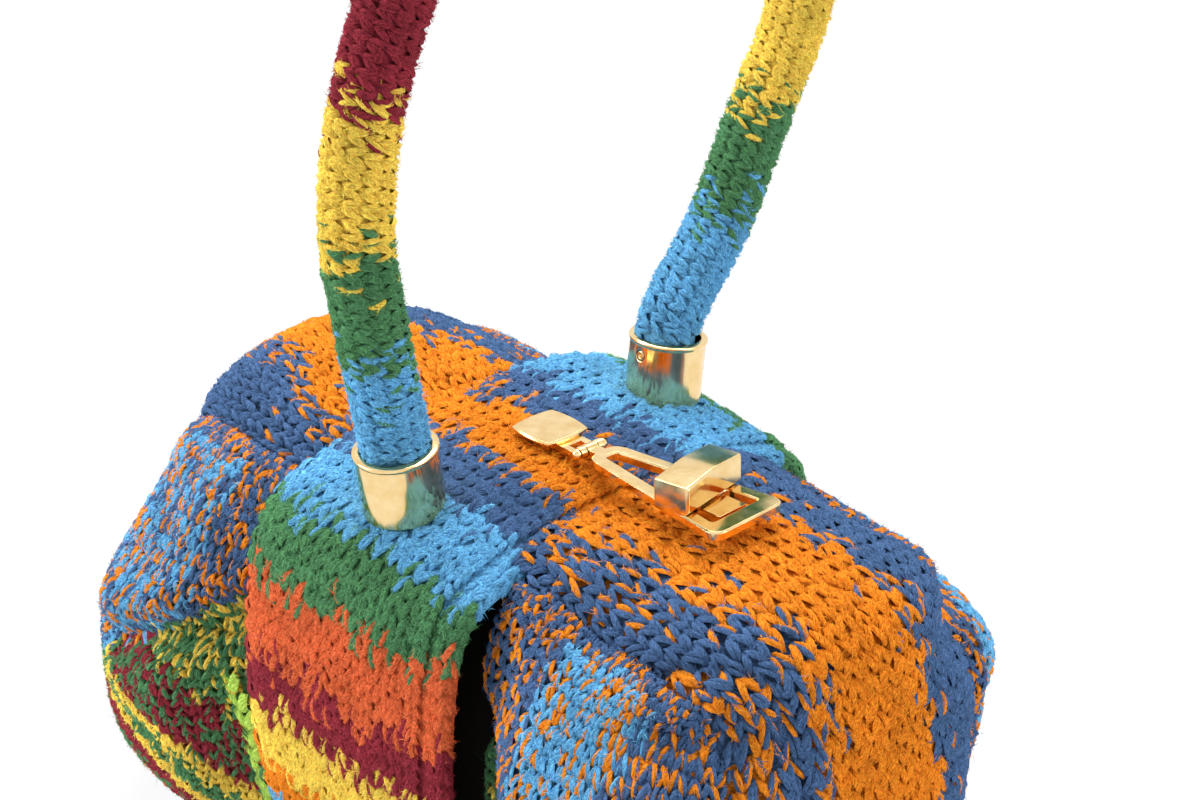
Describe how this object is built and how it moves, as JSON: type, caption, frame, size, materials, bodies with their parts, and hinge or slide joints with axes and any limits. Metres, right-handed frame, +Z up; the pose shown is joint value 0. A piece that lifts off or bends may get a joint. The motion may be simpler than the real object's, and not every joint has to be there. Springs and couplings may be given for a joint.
{
  "type": "crochet handbag",
  "caption": "Soft striped crochet handbag with a band over the top, a puffed lobe at each end, a crochet-covered rope handle in metal ferrules and a hasp with a turn knob.",
  "frame": {"origin": "on the floor under the middle of the band, on the underside of the base panel", "axes": "+Z up, +X along the hasp towards the lobe with the lock, -Y towards the front panel seen in the picture"},
  "size_m": [0.3238, 0.2288, 0.4039],
  "materials": {
    "band_crochet": "thick wool crochet in stripes",
    "lobe_crochet": "thick wool crochet in stripes",
    "base_crochet": "thick wool crochet",
    "handle_crochet": "thick wool crochet in bands of colour",
    "rope": "cotton rope",
    "board": "stiff base board",
    "gold_hardware": "polished gold plating",
    "steel_hardware": "plain steel"
  },
  "bodies": {
    "body": {"base_panel": "base_crochet", "base_board": "board", "front_ferrule": "gold_hardware", "front_grub_screw": "gold_hardware", "front_washer": "steel_hardware", "front_ferrule_screw": "steel_hardware", "back_ferrule": "gold_hardware", "back_grub_screw": "gold_hardware", "back_washer": "steel_hardware", "back_ferrule_screw": "steel_hardware", "handle_sleeve": "handle_crochet", "handle_core": "rope", "clasp_plate": "gold_hardware", "clasp_backing": "steel_hardware", "front_clasp_screw": "steel_hardware", "back_clasp_screw": "steel_hardware", "hinge_pin": "gold_hardware", "band": "band_crochet", "left_lobe": "lobe_crochet", "lock_base": "gold_hardware", "lock_backing": "steel_hardware", "inner_lock_rivet": "steel_hardware", "outer_lock_rivet": "steel_hardware", "right_lobe": "lobe_crochet"},
    "hasp": {"hasp_loop": "gold_hardware"},
    "knob": {"turn_knob": "gold_hardware", "knob_cam": "gold_hardware", "knob_spindle": "gold_hardware"}
  },
  "joints": [
    {"name": "hasp_lift", "type": "hinge", "parent": "body", "child": "hasp", "pos_m": [0.023, 0, 0.181], "axis": [0, -1, 0], "range_deg": [0, 130]},
    {"name": "knob_turn", "type": "hinge", "parent": "hasp", "child": "knob", "pos_m": [0.06947, 0, 0.18272], "axis": [-0.0371, 0, 0.9993], "range_deg": [0, 90]}
  ]
}
